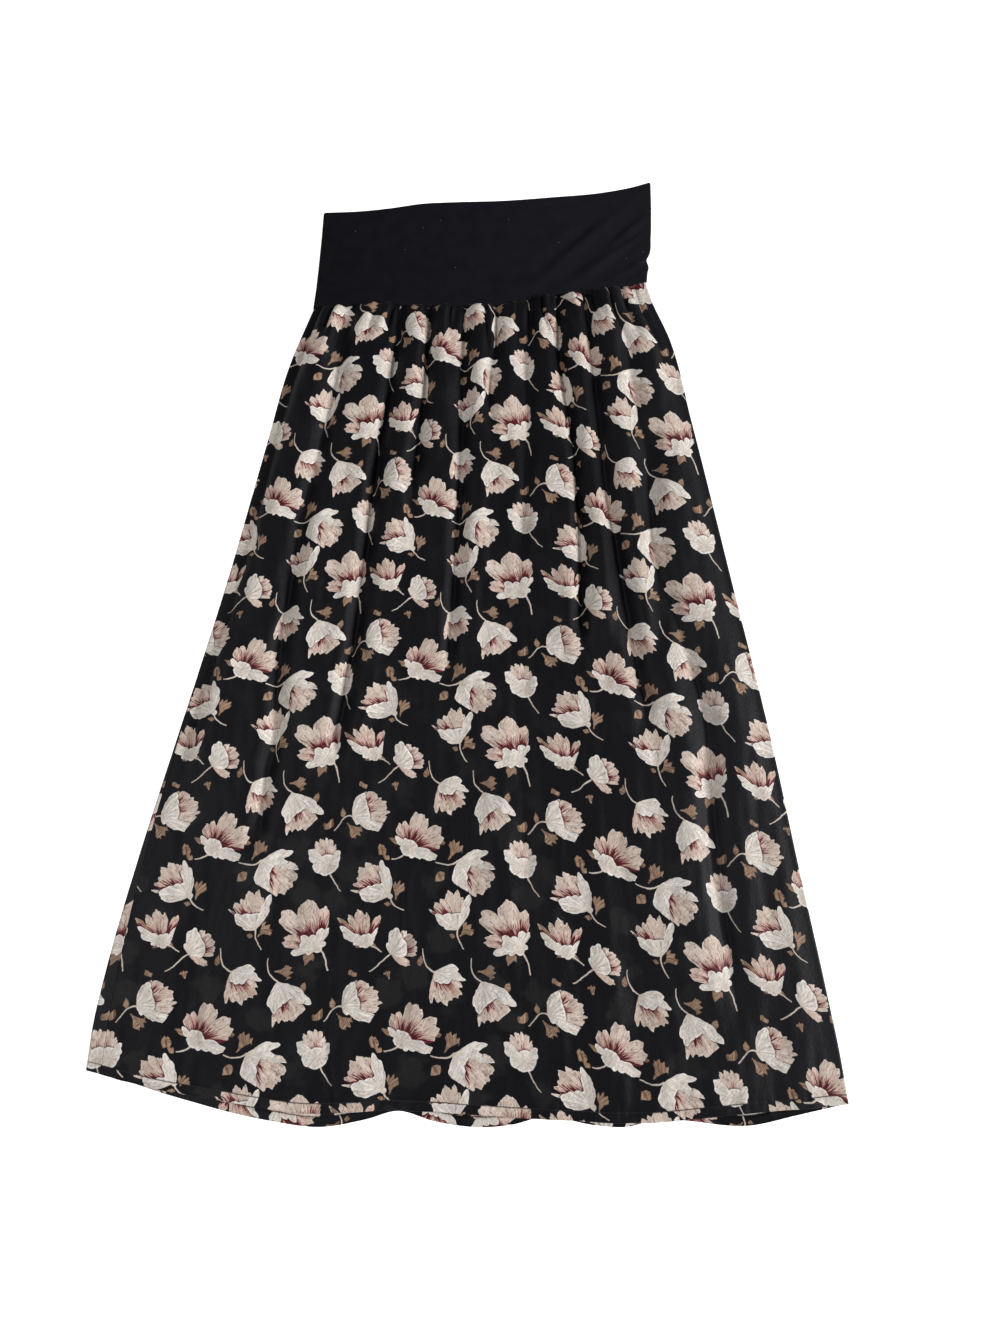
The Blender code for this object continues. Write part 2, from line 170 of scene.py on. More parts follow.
# Each flower has its heart's place in the repeat and its calyx's place from the heart, in mm.
# Petals are (direction, half width, reach, tone) from the calyx, in degrees and mm; tone runs
# from 0, cream, by 0.6, blush, to 1, tan. Frill is the height of the back petals' saw edge, and
# foot the cup's least reach. Wine is (direction, half width, length) of the red streaks that come
# out from under the cup. A stem is three (distance, direction) pairs and its half width. Leaves
# are (x, y, length, width, direction, 1 for a fan).
FLOWERS = {
    "open tulip": dict(
        heart=(0,0), calyx=(14.3,-16.7), frill=0.7, foot=5.5,
        back=[(137,18,54,.05), (146,10,51,.05), (106,25,50,.1), (117,14,47,.1), (81,20,42,.35),
            (164,15,37.5,.5), (173,13,38,.5)],
        cup=[(193,16,29), (212,20,14.5), (172,26,20), (147,22,22.5), (118,30,16.5), (78,26,21.5),
            (60,12,24.5), (30,30,12)],
        wine=[(118,46,13), (80,16,12), (170,8,9)], stem=(1.5,335,13,309,25,296,1.05),
        leaves=[(-8.3,-4.1,14.0,7.8,257,0), (-7.9,-4.7,9.5,6.6,300,0)]),
    "blushing tulip": dict(
        heart=(50,3), calyx=(12.2,-16.3), frill=1.0, foot=4.5,
        back=[(64,16,33,.7), (106,17,37,.3), (91,16,32,.35), (124,13,36,.3), (140,9,41,1)],
        cup=[(148,10,34), (158,16,27), (146,28,18), (110,44,12), (70,26,13.5), (49,13,23.5),
            (36,20,17), (10,26,10), (178,20,15), (204,26,9)],
        wine=[(122,40,11), (64,22,13)], stem=(3,353,9,344,18,335,.9),
        leaves=[(2.1,2.4,12.0,5.4,328,0), (-3.2,-.4,8.4,4.3,205,0)]),
    "rose bud": dict(
        heart=(95,-10), calyx=(-7.8,-13.4), frill=1.2, foot=1,
        back=[(58,17,30,.15), (42,17,32,.1), (26,17,32,.1), (12,15,31,.1), (1,10,29.5,.15),
            (333,20,25,.4)],
        cup=[(77,12,28.5), (87,18,25.5), (68,24,25), (48,34,22), (24,34,20), (4,26,18.5),
            (108,20,14)],
        wine=[(42,11,6), (16,16,7)], stem=(1,212,13,221,26,218,.85),
        leaves=[(-.4,-24,9.7,8.0,107,1)]),
    "tall tulip": dict(
        heart=(-61,20), calyx=(13.4,-19.9), frill=1.0, foot=1,
        back=[(133,15,38,.25), (120,14,37,.2), (106,15,41.5,.1), (92,10,41,.1), (84,13,34,.3),
            (146,4,39,.1)],
        cup=[(146,11,29), (153,18,26), (135,30,22.5), (105,38,18.5), (80,28,18.5), (71,11,38.5),
            (64,14,27), (168,18,16)],
        wine=[(128,24,8)], stem=(0,255,10,278,20,290,.85),
        leaves=[(2.1,-6.2,16.7,16.1,44,1), (-2.6,-6.3,6.7,4.6,162,0)]),
    "nodding tulip": dict(
        heart=(-64,-47), calyx=(-6.2,7.3), frill=1.1, foot=-3,
        back=[(265,11,32.5,.4), (279,10,33,.15), (292,13,37,.1), (304,12,35,.15), (314,9,37,.9),
            (322,7,39,.9), (332,15,34,.1)],
        cup=[(15,14,24), (5,14,26.5), (345,7,35), (351,11,30), (340,16,21.5), (325,20,21),
            (305,24,16.5), (283,24,12.5)],
        wine=[(286,18,9), (314,20,9)], stem=(0,165,12,138,25,117,.85),
        leaves=[(-14.7,5.2,11.0,6.2,83,0)]),
    "hanging tulip": dict(
        heart=(-17,-65), calyx=(-6.7,16.2), frill=1.2, foot=-3,
        back=[(268,6,46.5,.35), (276,12,42,.15), (287,13,43,.1), (297,10,47,.1), (306,8,48,.15),
            (314,11,44,.1)],
        cup=[(256,17,28), (266,12,33.5), (274,20,28), (291,26,25), (312,24,24), (328,10,43.5),
            (334,14,33), (321,12,36)],
        wine=[(291,15,10)], stem=(0,160,12,136,24,115,.85),
        leaves=[(-3.8,8.9,19.4,14.9,358,1), (24.5,-10.5,11.2,6.6,70,0)]),
    "leaning tulip": dict(
        heart=(-34,64), calyx=(-15.3,2.6), frill=1.2, foot=1,
        back=[(351,12,41,.0), (336,15,45.5,.1), (323,15,45.5,.1), (311,14,45,.15), (299,12,42,.2)],
        cup=[(15,10,35.5), (23,14,28), (5,14,26), (348,5,43), (356,10,30), (336,22,17),
            (313,26,17.5), (296,18,24), (283,18,38), (272,14,33), (260,14,23)],
        wine=[(322,13,11), (303,11,10)], stem=(0,225,11,201,23,184,.9),
        leaves=[(-10,.3,22.7,16.1,58,1), (-13,-11,13.4,9.6,225,0)]),
    "tulip bud": dict(
        heart=(14,84), calyx=(5.7,-21.1), frill=1.0, foot=10,
        back=[(137,12,25.5,.2), (124,14,29,.15), (111,15,29.5,.15), (98,14,28.5,.2),
            (86,13,27.5,.2), (72,14,22.5,.2), (60,14,18.5,.2)],
        cup=[(146,15,27.5), (158,24,24), (188,52,18), (232,70,14), (282,80,11.5), (330,70,11.5),
            (8,52,13), (36,32,16.5), (50,17,20), (92,56,12)],
        wine=[(99,14,6), (126,9,4)], stem=(0,283,12,290,30,300,.85),
        leaves=[(-5.5,-3.3,9.0,5.0,172,0), (-3.2,-3.3,5.9,3.6,268,0), (-3.2,34,7.8,6.0,120,0),
            (-2.6,34,12.3,6.7,68,0)]),
    "pointed tulip": dict(
        heart=(61,47), calyx=(23.8,-14.6), frill=1.0, foot=3,
        back=[(172,5,43.5,.1), (162,10,42.5,.25), (152,12,42,.2), (141,14,46,.1), (129,13,44.5,.1),
            (119,12,38,.2)],
        cup=[(108,9,39), (101,14,31), (113,12,31), (93,15,21), (128,26,18.5), (148,20,23),
            (163,17,29), (173,14,34.5), (184,14,31), (192,14,24)],
        wine=[(148,18,11), (127,14,8), (163,9,10)], stem=(0,275,10,301,20,318,.85),
        leaves=[(5.3,-4,20.0,14.4,77,1), (1.5,-7.5,7.8,4.8,175,0), (-11.8,39.3,11.8,7.2,95,0),
            (-6.5,34.6,6.2,6.0,60,0)]),
    "wide tulip": dict(
        heart=(104,-87), calyx=(-2,-16.9), frill=0.7, foot=8.5,
        back=[(125,13,26,.5), (115,15,29,.45), (102,17,29.5,.4), (79,15,38.5,.05), (68,17,39,.1),
            (57,17,37,.1), (31,20,41,.1), (15,18,40,.15), (2,14,35,.35)],
        cup=[(141,14,21), (151,18,17), (118,26,13), (90,36,11), (50,46,11), (10,36,11.5),
            (342,10,37), (334,12,30), (350,15,25), (322,20,19), (296,34,13.5), (178,30,11.5)],
        wine=[(96,24,13), (56,34,13), (12,26,15), (128,10,8)], stem=(1,250,10,231,21,211,1),
        leaves=[(-6.7,3.6,16.2,6.2,155,0), (-25.5,-8,11.8,7.2,98,0), (31.3,4.2,7.3,5.0,5,0)]),
    "side tulip": dict(
        heart=(54,-57), calyx=(-12.9,-15.7), frill=1.2, foot=1,
        back=[(60,12,31.5,.2), (51,12,34.5,.15), (42,12,36.5,.15), (31,13,37.5,.1), (21,12,41,.1),
            (12,11,40,.1), (5,6,43,0), (356,13,40,.05), (346,13,34,.1)],
        cup=[(78,14,19), (72,14,24), (63,14,28.5), (52,22,24), (35,26,21), (12,28,21), (350,28,21),
            (343,8,42.5), (336,11,37), (328,12,27), (312,20,13)],
        wine=[(44,12,9), (20,16,8)], stem=(0,160,10,201,23,219,.85),
        leaves=[(-4.7,-6.9,20.0,14.9,320,1), (5.6,34.5,8.3,5.5,307,0), (10,28.6,5.6,4.8,35,0),
            (-8.9,-2.1,11.0,6.0,98,0)]),
}


def petal_ring(petals, frill, point, join, least=NO_PETAL):
    """The outline, shade and tone of a ring of petals, all round the calyx.

    A petal reaches (reach - PETAL_TRIM) * (1 - point * u - (1 - point) * u ** 4), where u is the
    turn off its middle line over its half width, so point gives it a sharper tip. The ring is
    the petals' sum(reach ** join) ** (1 / join), so a small join fills their notches, or least
    mm where there is none. It is darker at the crease between two petals and towards a petal's
    sides, each petal has a shade of its own, and the edge has saw teeth of frill mm.
    """
    turn, half, reach = np.array([petal[:3] for petal in petals], float).T[:, :, None]
    off = np.abs((CHART_TURN - turn + 180) % 360 - 180) / half
    u = np.clip(off, 0, 1)
    reach = (reach - PETAL_TRIM) * (1 - point * u - (1 - point) * u ** 4)
    reach = np.where(off < 1, reach, NO_PETAL)
    owner = reach.argmax(0)
    second, top = np.sort(reach, 0)[-2:]
    joined = (np.maximum(reach, 0) ** join).sum(0) ** (1 / join)
    side = np.clip(np.take_along_axis(off, owner[None], 0)[0], 0, 1)
    crease = np.exp(-(((top - second) / CREASE_WIDTH) ** 2)) * (top > 0)
    shade = 1 - SIDE_SHADE * side ** 3 - CREASE_SHADE * crease - PETAL_SHADE * ((owner * 0.618) % 1)
    coarse, fine = SAW_TEETH
    saw = 2 * ((CHART_TURN / coarse) % 1) + ((CHART_TURN / fine + 0.35) % 1)
    top = np.maximum(np.where(top > 0, joined + frill * (saw - 1.5), top), least)
    tone = np.array([petal[3] if len(petal) > 3 else 0.0 for petal in petals])[owner]
    return top, np.clip(shade, 0, 1), tone


def wine_ring(cup, streaks):
    """How far the wine red reaches, all round the calyx.

    That is the cup's outline and the streaks' length on their middle line, falling to
    WINE_FALL mm inside the cup past their half width.
    """
    turn, half, length = np.array(streaks, float).T[:, :, None]
    u = np.clip(np.abs((CHART_TURN - turn + 180) % 360 - 180) / half, 0, 1)
    return cup + ((length + WINE_FALL) * (1 - u ** 4)).max(0) - WINE_FALL


def leaf_ring(leaves):
    """The nearest and farthest distance of the leaves from the calyx, all round it.

    Where s is 0 at its foot and 1 at its tip, a leaf is a pointed oval, width
    * sin(pi * s ** 0.75) ** 1.3, or a fan that widens as s ** 1.9 to three pointed leaflets.
    """
    inner, outer = (np.full(CHART_TURN.size, distance) for distance in NO_LEAF)
    s, side = np.linspace(0, 1, LEAF_POINTS), np.linspace(-1, 1, LEAF_POINTS)
    for x, y, length, width, direction, fan in leaves:
        if fan:
            half = width / 2 * (0.10 + 0.9 * s ** 1.9)
            end = length * (1 - 0.18 * side ** 2 - 0.5 * np.abs((side * 1.5 + 0.5) % 1 - 0.5))
            along = np.concatenate([length * s * 0.74, end, length * s * 0.74])
            out = np.concatenate([half, side * width * 0.49, -half])
        else:
            half = width / 2 * np.sin(np.pi * s ** 0.75) ** 1.3
            along = np.concatenate([length * s, length * s])
            out = np.concatenate([half, -half])
        cos, sin = np.cos(np.radians(direction)), np.sin(np.radians(direction))
        rim_x = x + along * cos - out * sin
        rim_y = y + along * sin + out * cos
        step = (np.degrees(np.arctan2(rim_y, rim_x)) + 180) / 360 * (CHART_TURN.size - 1)
        step = np.round(step).astype(int)
        np.minimum.at(inner, step, np.hypot(rim_x, rim_y))
        np.maximum.at(outer, step, np.hypot(rim_x, rim_y))
    return inner, outer


def stem_line(stem):
    """A stem's direction, as a part of a turn, and half width by distance from the calyx.

    The direction is the parabola through the stem's three (distance, direction) pairs. The half
    width falls from 1.375 times the table's at its foot to the table's at its end.
    """
    distance = np.linspace(0, STEM_REACH, STEM_POINTS)
    pairs, half = np.reshape(stem[:6], (3, 2)), stem[6]
    first, last = pairs[0, 0], pairs[2, 0]
    turn = np.polyval(np.polyfit(pairs[:, 0], pairs[:, 1], 2), np.clip(distance, first, last))
    taper = 1.375 - 0.375 * (distance - first) / (last - first)
    there = (distance >= first) & (distance <= last)
    return (turn + 180) / 360, np.where(there, half * taper, NO_PETAL)


def draw_curves(output, *charts):
    """Draw one chart of evenly spaced values in each channel of an RGB Curves node's output."""
    mapping = output.node.mapping
    mapping.use_clip = False
    for curve, values in zip(mapping.curves, charts):
        curve.points[0].location, curve.points[1].location = (0, values[0]), (1, values[-1])
        for at, value in zip(np.linspace(0, 1, len(values))[1:-1], values[1:-1]):
            curve.points.new(at, value)
        for point in curve.points:
            point.handle_type = "VECTOR"
    mapping.update()
    return output


def flower_charts(tree, cloth):
    """The nearest flower's charts at each point of the cloth, and the stems and leaves near it.

    A point's turn and distance from each calyx look up that flower's outlines. The flower whose
    heart is nearest wins. Returns outlines (back, cup, heart), shades (back, cup, tone), the
    polar place (turn, distance, and a step for each flower, so that no two have the same
    streaks) and trims (stem depth, leaf depth). Lengths are in mm.
    """
    nearest = outlines = shades = polar = trims = None
    for number, flower in enumerate(FLOWERS.values()):
        away = add(tree, "VectorMath", [cloth, (*flower["heart"], 0)], operation="SUBTRACT")
        away = add(tree, "VectorMath", [
            away, (PRINT_WIDE / 2, PRINT_TALL / 2, 1),
            (-PRINT_WIDE / 2, -PRINT_TALL / 2, -1)], operation="WRAP")
        to_heart = add(tree, "VectorMath", [away], "Value", operation="LENGTH")
        away = add(tree, "VectorMath", [away, (*flower["calyx"], 0)], operation="SUBTRACT")
        distance = add(tree, "VectorMath", [away], "Value", operation="LENGTH")
        right, up = add(tree, "SeparateXYZ", [away], slice(2))
        turn = add(tree, "Math", [up, right], operation="ARCTAN2")
        turn = add(tree, "Math", [turn, 1 / (2 * np.pi), 0.5], operation="MULTIPLY_ADD")

        back, back_shade, tone = petal_ring(
            flower["back"], flower["frill"], point=0.2, join=14 if flower["frill"] > 1 else 40)
        cup, cup_shade, _ = petal_ring(
            flower["cup"], frill=0.2, point=0.15, join=9, least=flower["foot"])
        outline, shade, leaf = (
            draw_curves(add(tree, "RGBCurve", {"Color": turn}), *charts)
            for charts in ((back, cup, wine_ring(cup, flower["wine"])),
                           (back_shade, cup_shade, tone), leaf_ring(flower["leaves"])))
        far = add(tree, "Math", [distance, 1 / STEM_REACH], operation="MULTIPLY")
        stem = draw_curves(add(tree, "RGBCurve", {"Color": far}), *stem_line(flower["stem"]))

        stem_turn, stem_half = add(tree, "SeparateColor", [stem], slice(2))
        off = add(tree, "Math", [turn, stem_turn], operation="SUBTRACT")
        off = add(tree, "Math", [off, 0.5, -0.5], operation="WRAP")
        off = add(tree, "Math", [off], operation="ABSOLUTE")
        off = add(tree, "Math", [off, distance], operation="MULTIPLY")
        stem = add(tree, "Math", [off, -2 * np.pi, stem_half], operation="MULTIPLY_ADD")
        near_side, far_side = add(tree, "SeparateColor", [leaf], slice(2))
        within = add(tree, "Math", [far_side, distance], operation="SUBTRACT")
        beyond = add(tree, "Math", [distance, near_side], operation="SUBTRACT")
        leaf = add(tree, "Math", [within, beyond], operation="MINIMUM")
        trim = add(tree, "CombineXYZ", [stem, leaf])
        here = add(tree, "CombineXYZ", [turn, distance, number * FLOWER_STEP])

        if nearest is None:
            nearest, outlines, shades, polar, trims = to_heart, outline, shade, here, trim
            continue
        wins = add(tree, "Math", [to_heart, nearest], operation="LESS_THAN")
        nearest = add(tree, "Math", [to_heart, nearest], operation="MINIMUM")
        outlines, shades, polar = (
            add(tree, "Mix", {0: wins, 4: old, 5: new}, 1, data_type="VECTOR")
            for old, new in ((outlines, outline), (shades, shade), (polar, here)))
        trims = add(tree, "VectorMath", [trims, trim], operation="MAXIMUM")
    return outlines, shades, polar, trims


def print_colour(tree):
    """The print's colour at each point of the cloth.

    The cloth's place wanders by up to WANDER mm, so that outlines are soft and uneven. Each
    layer is painted over the last: ground, a painted sheen that pales the ground towards the
    right, ghost, leaves, stalks, back petals with the heart's streaks, and the cup's petals, by
    how deep the point lies inside the layer's outline; the sheen by how far right it lies.
    """
    flat = add(tree, "UVMap", uv_map="cloth")
    flat = add(tree, "VectorMath", [flat, (1 / MM, 1 / MM, 0)], operation="MULTIPLY")
    wander = add(tree, "TexNoise", {
        "Vector": flat, "Scale": 0.13, "Detail": 2.0, "Roughness": 0.45}, 1)
    cloth = add(tree, "VectorMath", [wander, (2 * WANDER, 2 * WANDER, 0), flat],
                operation="MULTIPLY_ADD")
    cloth = add(tree, "VectorMath", [cloth, (WANDER, WANDER, 0)], operation="SUBTRACT")
    outlines, shades, polar, trims = flower_charts(tree, cloth)
    back, cup, heart = add(tree, "SeparateXYZ", [outlines], slice(3))
    back_shade, cup_shade, tone = add(tree, "SeparateXYZ", [shades], slice(3))
    stem, leaf = add(tree, "SeparateXYZ", [trims], slice(2))
    distance = add(tree, "SeparateXYZ", [polar], 1)
    in_back, in_cup, in_heart = (
        add(tree, "Math", [outline, distance], operation="SUBTRACT")
        for outline in (back, cup, heart))

    # Streaks are fine lines that run out from the calyx, furrows are broad ones, and blots are
    # uneven ink.
    streak, furrow = (
        add(tree, "TexNoise", {
            "Vector": add(tree, "VectorMath", [polar, (*size, 40.0)], operation="MULTIPLY"),
            "Scale": 1.0, "Detail": 2.5, "Roughness": 0.65})
        for size in ((150.0, 0.05), (34.0, 0.035)))
    blot = add(tree, "TexNoise", {"Vector": flat, "Scale": 0.24, "Detail": 3.0})
    leaf, spike = (
        add(tree, "Math", [noise, reach, add(tree, "Math", [depth, less], operation="SUBTRACT")],
            operation="MULTIPLY_ADD")
        for noise, reach, depth, less in (
            (blot, 1.6, leaf, 0.7), (streak, 46.0, in_heart, 27.0)))
    line = add(tree, "Math", [furrow, 0.5, 0.012], operation="COMPARE")
    freckle = add(tree, "TexVoronoi", {"Vector": flat, "Scale": 0.33})
    on_leaf, on_stem, stem_middle, on_back, on_cup, on_wine, wine_middle = (
        add(tree, "Math", [depth, sharp], operation="MULTIPLY", use_clamp=True)
        for depth, sharp in ((leaf, 1.3), (stem, 1.6), (stem, 1.2), (in_back, 1.5),
                             (in_cup, 1.5), (spike, 0.6), (spike, 0.22)))
    back_crease, cup_crease = (
        add(tree, "Math", [1.0, shade], operation="SUBTRACT", use_clamp=True)
        for shade in (back_shade, cup_shade))
    across, up = add(tree, "SeparateXYZ", [flat], slice(2))
    blur = add(tree, "TexNoise", {"Vector": flat, "Scale": 0.055, "Detail": 2.0}, 1)
    beneath = add(tree, "VectorMath", [blur, (GHOST_BLUR, GHOST_BLUR, 0), flat],
                  operation="MULTIPLY_ADD")
    ghost = add(tree, "TexVoronoi", {
        "Vector": beneath, "Scale": 0.022, "Smoothness": 0.2}, feature="SMOOTH_F1")
    (vein, blushing, tanned, uneven, furrowed, lined, rim, edge, haze, under_cup, foot, freckled,
     ghost, painted_sheen_right, at_hem) = (
        add(tree, "MapRange", [value, low, high, at_low, at_high])
        for value, low, high, at_low, at_high in (
            (streak, 0.38, 0.62, 0.0, 1.0), (tone, 0.0, 0.6, 0.0, 1.0),
            (tone, 0.85, 0.95, 0.0, 1.0), (blot, 0.36, 0.62, 0.32, 0.0),
            (furrow, 0.34, 0.60, 0.6, 0.0), (line, 0.0, 1.0, 0.0, 0.7),
            (in_cup, 0.0, 2.2, 0.9, 0.0), (in_back, 0.0, 1.6, 0.7, 0.0),
            (in_heart, -4.0, 8.0, 0.0, 0.40), (in_cup, -2.0, -0.2, 0.0, 0.75),
            (distance, 2.0, 9.0, 0.35, 0.0), (freckle, 0.12, 0.2, 0.7, 0.0),
            (ghost, 0.26, 0.40, 1.0, 0.0), (across, 90.0, 330.0, 0.0, 0.75),
            (up, -260.0, -520.0, 0.2, 1.0)))
    ghost = add(tree, "Math", [ghost, at_hem], operation="MULTIPLY")

    leaf_tan, cream, blush, tan, white, stalk, wine = (
        add(tree, "Mix", {0: amount, 6: dark, 7: light}, 2, data_type="RGBA")
        for amount, dark, light in (
            (vein, "#5f4739", "#a88c76"), (vein, "#d0c2b6", "#e6dbd1"),
            (vein, "#d6b3a6", "#e6cfc4"), (vein, "#7a5a40", "#a88a68"),
            (vein, "#dad2c9", "#f1ebe4"), (stem_middle, "#7d6f66", "#cbc0b5"),
            (wine_middle, "#8c3c42", "#48141a")))
    petal, cup_petal, colour = cream, white, "#08080e"
    for amount, over in (
            (blushing, blush), (tanned, tan), (furrowed, "#b5a496"), (uneven, "#b39c8d"),
            (back_crease, "#8f776b"), (haze, "#c28a82"), (lined, "#7b5f55"),
            (freckled, "#7d5850"), (edge, "#ecdfd4"), (under_cup, "#5f3c38"), (on_wine, wine)):
        petal = add(tree, "Mix", {0: amount, 6: petal, 7: over}, 2, data_type="RGBA")
    for amount, over in (
            (furrowed, "#c3bcb3"), (uneven, "#c6beb5"), (cup_crease, "#8d837b"),
            (lined, "#958a81"), (rim, "#f4f0ec"), (foot, "#b9a593")):
        cup_petal = add(tree, "Mix", {0: amount, 6: cup_petal, 7: over}, 2, data_type="RGBA")
    # Painted sheen: the black ground grows paler towards the right, where the light from the right
    # grazes it.
    for amount, over in (
            (painted_sheen_right, "#1d1d22"), (ghost, "#1a1a1c"), (on_leaf, leaf_tan), (on_stem, stalk),
            (on_back, petal), (on_cup, cup_petal)):
        colour = add(tree, "Mix", {0: amount, 6: colour, 7: over}, 2, data_type="RGBA")
    return colour


# Crepe: hard twisted yarn that stands up as slanting pebbles about 1.6 by 6 mm. Painted shade in
# the hollows between them hatches the pale flowers with grey. Its dark ground has a faint, soft
# shine. A shaded line 1.4 mm wide runs under the stitches, 9 mm above each hem's edge.
chiffon, tree, shader = finish_material(
    "flowered_crepe_chiffon", Roughness=0.55, IOR=1.45, Specular_IOR_Level=0.14,
    Sheen_Weight=0.02, Sheen_Roughness=0.5)
from_edge = add(tree, "SeparateXYZ", [add(tree, "UVMap", uv_map="edge")], 1)
stitch_shade = add(tree, "Math", [from_edge, 0.009, 0.0007], operation="COMPARE")
stitch_shade = add(tree, "Math", [stitch_shade, 0.6], operation="MULTIPLY")
colour = print_colour(tree)
colour = add(tree, "Mix", {0: stitch_shade, 6: colour, 7: "#161415"}, 2, data_type="RGBA")
cloth_place = add(tree, "UVMap", uv_map="cloth")
crepe = add(tree, "VectorRotate", {"Vector": cloth_place, "Angle": np.radians(35)},
            rotation_type="Z_AXIS")
crepe = add(tree, "VectorMath", [crepe, (620, 170, 1)], operation="MULTIPLY")
crepe = add(tree, "TexNoise", {"Vector": crepe, "Scale": 1.0, "Detail": 2.0})
# Painted shade: the colour is darkened where the crepe's bump is low, in the hollows between its
# pebbles.
pebble_shade = add(tree, "MapRange", [crepe, 0.35, 0.6, 0.30, 0.0])
colour = add(tree, "Mix", {0: pebble_shade, 6: colour, 7: "#9a8d86"}, 2, data_type="RGBA",
             blend_type="MULTIPLY")
rumple = add(tree, "TexNoise", {"Vector": cloth_place, "Scale": 75.0, "Detail": 2.0})
bump = add(tree, "Bump", {"Height": crepe, "Strength": 0.6, "Distance": 0.0006})
bump = add(tree, "Bump", {"Height": rumple, "Strength": 0.4, "Distance": 0.001, "Normal": bump})
tree.links.new(colour, shader.inputs["Base Color"])
tree.links.new(bump, shader.inputs["Normal"])


# --- The skirt's two panels ------------------------------------------------------------------
# Front and back are cut flared from the chiffon, gathered into the waist seam and sewn up both
# sides. Laid flat, the tube rolls over softly at each side, and the left seam has turned onto
# the front towards the hem. The outline's tables follow the solid's to within 4 mm.
CHIFFON_WALL = 1.0
THIN_WALL = 0.5
SEAM_GAP = 0.3
LAYER_GAP = 0.5
SIDE_ROLL = 2.0
ROLL_REACH = 14.0
HEM_DEPTH = 9.0
HEM_TURN = 0.75
PANEL_LENGTH = 869.0

# Stretches of rows down a panel, (from, to, step) in mm. The last stretch starts HEM_ROWS mm over
# the hem. Counted from the end, EDGE_ROW is the last row before the cloth turns inside.
ROW_STEPS = ((0, 30, 2.0), (30, 110, 4.0), (110, 826, 8.6), (828, 846, 4.5))
HEM_ROWS = 21.0
HEM_ROW_STEP = 1.5
EDGE_ROW = -8


def table(names, *rows):
    """A short table as a dictionary of its named columns."""
    return dict(zip(names.split(), np.array(rows, float).T))


def smooth(at, xs, ys):
    """A smooth curve through the points (xs, ys), read at the values in at.

    Each stretch is a cubic whose slope at a point is the slope between that point's neighbours.
    """
    at = np.clip(at, xs[0], xs[-1])
    slopes = np.gradient(ys, xs)
    i = np.clip(np.searchsorted(xs, at, side="right") - 1, 0, len(xs) - 2)
    span = xs[i + 1] - xs[i]
    t = (at - xs[i]) / span
    start = (1 + 2 * t) * (1 - t) ** 2 * ys[i] + t * (1 - t) ** 2 * span * slopes[i]
    end = t * t * (3 - 2 * t) * ys[i + 1] - t * t * (1 - t) * span * slopes[i + 1]
    return start + end


def fade(at):
    """1 at 0, falling smoothly to 0 at 1."""
    at = np.clip(at, 0.0, 1.0)
    return 1 - at * at * (3 - 2 * at)


def bell(at):
    """1 at 0, falling smoothly to almost nothing at 2 and at -2."""
    return np.exp(-(at ** 2))


SIDES = table(
    "fall   left    right  wrap",
    (0.00, -182.0, 203.0, 0.0),
    (0.02, -188.0, 207.0, 0.0),
    (0.08, -205.0, 227.0, 0.0),
    (0.20, -227.0, 249.0, 0.0),
    (0.40, -263.0, 283.0, 0.0),
    (0.60, -304.0, 316.5, 3.0),
    (0.75, -335.0, 337.5, 7.0),
    (0.88, -358.5, 356.5, 13.0),
    (0.95, -368.0, 366.0, 16.0),
    (1.00, -371.0, 371.0, 16.0),
)
WAIST_SEAM = table(
    "across  y",
    (0.00, 354.0), (0.18, 361.0), (0.37, 357.0), (0.58, 361.0),
    (0.70, 371.0), (0.83, 374.0), (0.93, 383.0), (1.00, 389.0),
)
FRONT_HEM = table(
    "across  y",
    (0.00, -470.0), (0.035, -476.0), (0.05, -479.0), (0.10, -487.0), (0.19, -498.5),
    (0.28, -508.0), (0.41, -506.0), (0.59, -513.5), (0.74, -517.0), (0.87, -508.5),
    (1.00, -501.0),
)
BACK_HEM = table(
    "across  y",
    (0.00, -470.0), (0.035, -476.0), (0.05, -479.5), (0.10, -491.0), (0.145, -500.0),
    (0.19, -508.5), (0.245, -516.5), (0.31, -522.0), (0.37, -515.0), (0.41, -507.5),
    (0.46, -517.0), (0.52, -522.2), (0.56, -520.0), (0.60, -513.0), (0.67, -520.5),
    (0.71, -522.0), (0.74, -517.0), (0.88, -520.0), (0.93, -512.0), (1.00, -501.0),
)

# The front's gathers, left to right, one row for each trough: its place across at the waist and
# where its line would meet the hem, how much of the cloth's lift it takes out, and the fall by
# which it has died away.
GATHERS = table(
    "waist   hem   bite   run",
    (0.022, 0.030, 0.80, 0.14),
    (0.060, 0.075, 0.85, 0.08),
    (0.100, 0.110, 0.75, 0.12),
    (0.135, 0.150, 0.80, 0.07),
    (0.185, 0.200, 0.70, 0.11),
    (0.238, 0.225, 0.90, 0.10),
    (0.285, 0.290, 0.95, 0.14),
    (0.330, 0.340, 0.80, 0.07),
    (0.362, 0.375, 0.70, 0.16),
    (0.415, 0.420, 0.90, 0.12),
    (0.465, 0.470, 0.75, 0.09),
    (0.520, 0.515, 0.85, 0.20),
    (0.552, 0.560, 0.90, 0.10),
    (0.605, 0.600, 0.80, 0.10),
    (0.645, 0.650, 0.80, 0.08),
    (0.690, 0.690, 0.90, 0.13),
    (0.730, 0.725, 0.95, 0.13),
    (0.775, 0.775, 0.85, 0.09),
    (0.815, 0.810, 0.90, 0.09),
    (0.850, 0.850, 0.80, 0.07),
    (0.890, 0.885, 0.90, 0.12),
    (0.930, 0.925, 0.85, 0.10),
    (0.968, 0.965, 0.80, 0.16),
)
GATHER_COUNT = len(GATHERS["waist"]) + 1
COLUMNS_PER_GATHER = 12
SIDE_COLUMNS = 5
BACK_COLUMNS = 210
LEFT_COLUMNS = 19
TROUGH_WIDTH_WAIST = 0.26
TROUGH_WIDTH_HEM = 0.62
GATHER_LEAN = 0.13
